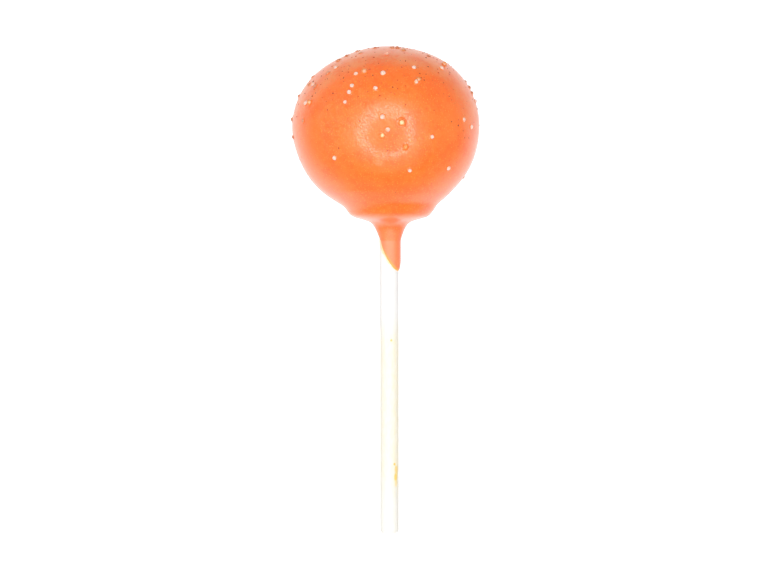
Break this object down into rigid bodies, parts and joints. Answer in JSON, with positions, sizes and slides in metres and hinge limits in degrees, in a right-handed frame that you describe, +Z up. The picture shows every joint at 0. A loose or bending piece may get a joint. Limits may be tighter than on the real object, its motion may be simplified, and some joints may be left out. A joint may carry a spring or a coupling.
{
  "type": "cake pop",
  "caption": "Round cake pop in a smooth candy coating with small pearl sprinkles, with an icing collar where it meets its rolled paper stick, lying on its side.",
  "frame": {"origin": "centre of the footprint of the cake pop as it lies, on the surface that it lies on", "axes": "+Z up; +Y from the free end of the stick towards the ball; +X to the right with the stick pointing at the viewer"},
  "size_m": [0.041, 0.1056, 0.0403],
  "materials": {
    "icing": "smooth orange candy coating with a soft satin gloss and a fine grain",
    "paper": "tightly rolled white paper, slightly warm, with an icing stain near its free end",
    "pearl_sprinkles": "small white sugar pearls, some dusted or half covered with icing",
    "amber_sprinkles": "small translucent amber sugar pearls",
    "crumbs": "dark cake crumbs caught in the coating"
  },
  "bodies": {
    "root": {"coated_ball": "icing", "stick": "paper"}
  },
  "joints": []
}
